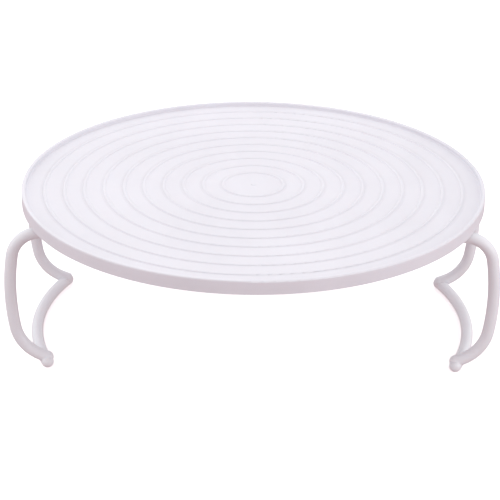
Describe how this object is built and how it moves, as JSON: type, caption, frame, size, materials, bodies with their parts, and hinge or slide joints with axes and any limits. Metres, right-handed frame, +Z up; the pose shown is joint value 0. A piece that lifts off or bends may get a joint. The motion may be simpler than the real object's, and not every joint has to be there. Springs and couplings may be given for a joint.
{
  "type": "folding food stand",
  "caption": "Round ribbed plastic tray with a raised lip, on looped rod legs that fold flat underneath; a second-tier stand for cakes, plates or a microwave oven.",
  "frame": {"origin": "middle of the four feet on the surface it stands on, on the tray's axis", "axes": "+Z up along the tray's axis, the legs on +X and -X, each leg's hinge axis along Y"},
  "size_m": [0.2442, 0.2336, 0.0824],
  "materials": {
    "tray_plastic": "satin white polypropylene",
    "leg_plastic": "satin white polypropylene",
    "cap_plastic": "satin white polypropylene"
  },
  "bodies": {
    "tray": {"tray": "tray_plastic", "left_front_hinge_cap": "cap_plastic", "left_rear_hinge_cap": "cap_plastic", "right_front_hinge_cap": "cap_plastic", "right_rear_hinge_cap": "cap_plastic"},
    "left_leg": {"left_leg": "leg_plastic"},
    "right_leg": {"right_leg": "leg_plastic"}
  },
  "joints": [
    {"name": "left_leg_fold", "type": "hinge", "parent": "tray", "child": "left_leg", "pos_m": [-0.092, 0, 0.0728], "axis": [0, -1, 0], "range_deg": [0, 96]},
    {"name": "right_leg_fold", "type": "hinge", "parent": "tray", "child": "right_leg", "pos_m": [0.092, 0, 0.0728], "axis": [0, 1, 0], "range_deg": [0, 96]}
  ]
}
